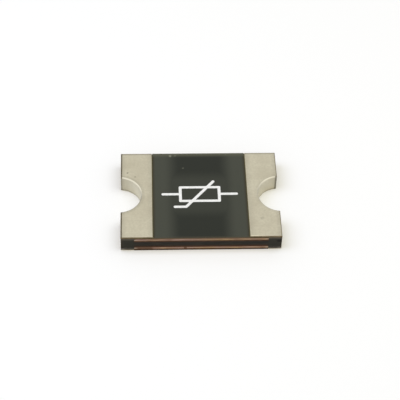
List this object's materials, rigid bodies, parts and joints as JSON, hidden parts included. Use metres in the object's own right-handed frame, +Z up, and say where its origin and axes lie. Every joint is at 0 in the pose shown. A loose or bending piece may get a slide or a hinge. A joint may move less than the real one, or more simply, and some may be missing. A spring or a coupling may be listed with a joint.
{
  "type": "resettable fuse",
  "caption": "Flat surface-mount polymer resettable fuse: a dark laminated slab with tinned pads and half-round plated notches at both ends.",
  "frame": {"origin": "middle of the footprint, on the plane of the board that the solder pads rest on", "axes": "+X from the left terminal to the right terminal, +Y across the part towards the far long side, +Z up from the board"},
  "size_m": [0.0046, 0.0032, 0.0005],
  "materials": {
    "polymer_core": "sawn carbon-filled polymer, nearly black",
    "copper_foil": "sawn edge of copper foil, dulled to brown",
    "insulation": "resin-bonded glass sheet, dark olive brown",
    "tin_plating": "matte electroplated tin over copper",
    "solder_mask": "semi-gloss dark solder mask",
    "marking_ink": "white printed ink"
  },
  "bodies": {
    "root": {"ptc_core": "polymer_core", "upper_foil": "copper_foil", "lower_foil": "copper_foil", "upper_insulation": "insulation", "lower_insulation": "insulation", "left_terminal": "tin_plating", "right_terminal": "tin_plating", "upper_mask": "solder_mask", "lower_mask": "solder_mask"}
  },
  "joints": []
}
